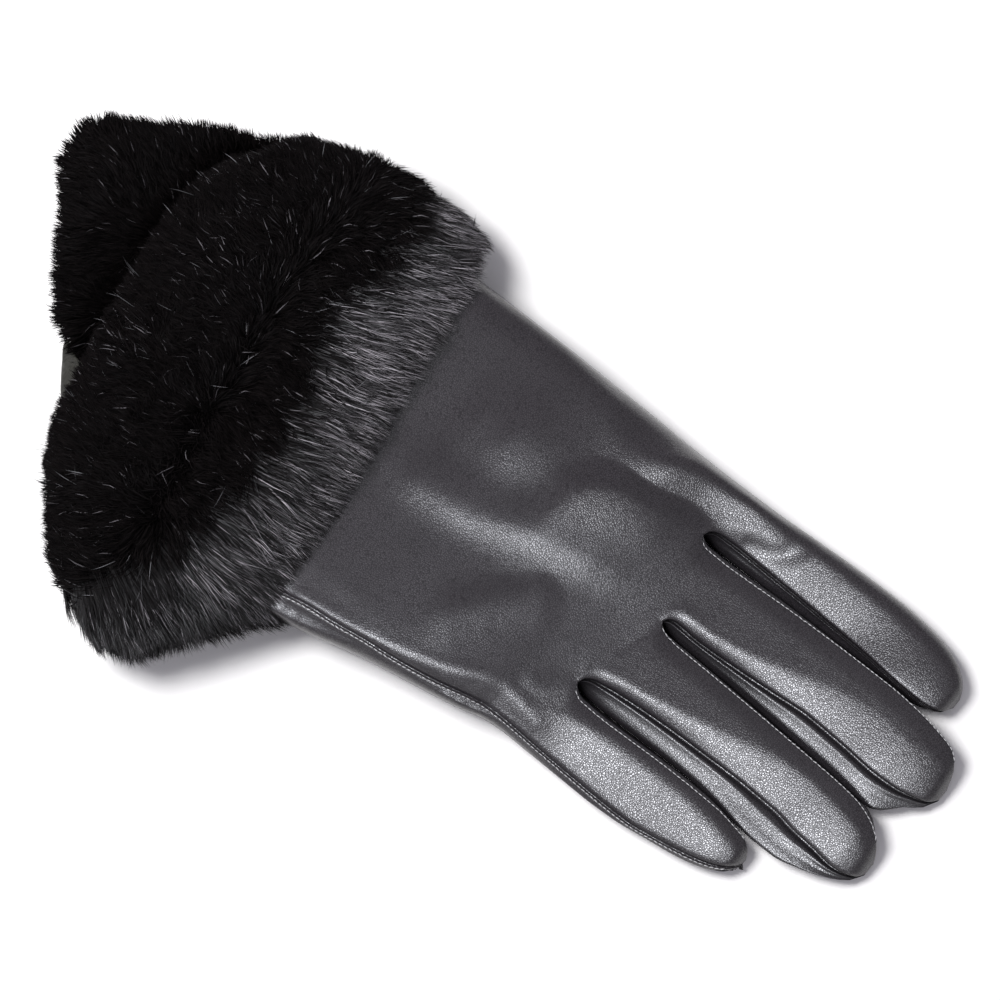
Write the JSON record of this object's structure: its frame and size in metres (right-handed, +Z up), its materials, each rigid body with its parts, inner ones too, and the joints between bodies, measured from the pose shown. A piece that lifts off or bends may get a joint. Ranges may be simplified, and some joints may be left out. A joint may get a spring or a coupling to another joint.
{
  "type": "fur-cuffed dress glove",
  "caption": "Right-hand black leather dress glove lying palm down, with forked side strips between the fingers, a tucked-in thumb and a wide flared cuff of dark fur.",
  "frame": {"origin": "below the middle of the glove's bounding box, on the surface that it lies on", "axes": "+Y from the cuff to the fingertips, +X towards the little finger, +Z up, out of the back of the hand"},
  "size_m": [0.1492, 0.28, 0.037],
  "materials": {
    "glove_leather": "semi-gloss nappa with a fine grain",
    "side_leather": "semi-gloss nappa",
    "mink_fur": "dense dark fur with silvery guard hairs",
    "satin_lining": "silvery satin"
  },
  "bodies": {
    "root": {"hand_leather": "glove_leather", "fourchette_index_middle": "side_leather", "fourchette_middle_ring": "side_leather", "fourchette_ring_little": "side_leather", "thumb": "glove_leather", "fur_cuff": "mink_fur", "cuff_lining": "satin_lining"}
  },
  "joints": []
}
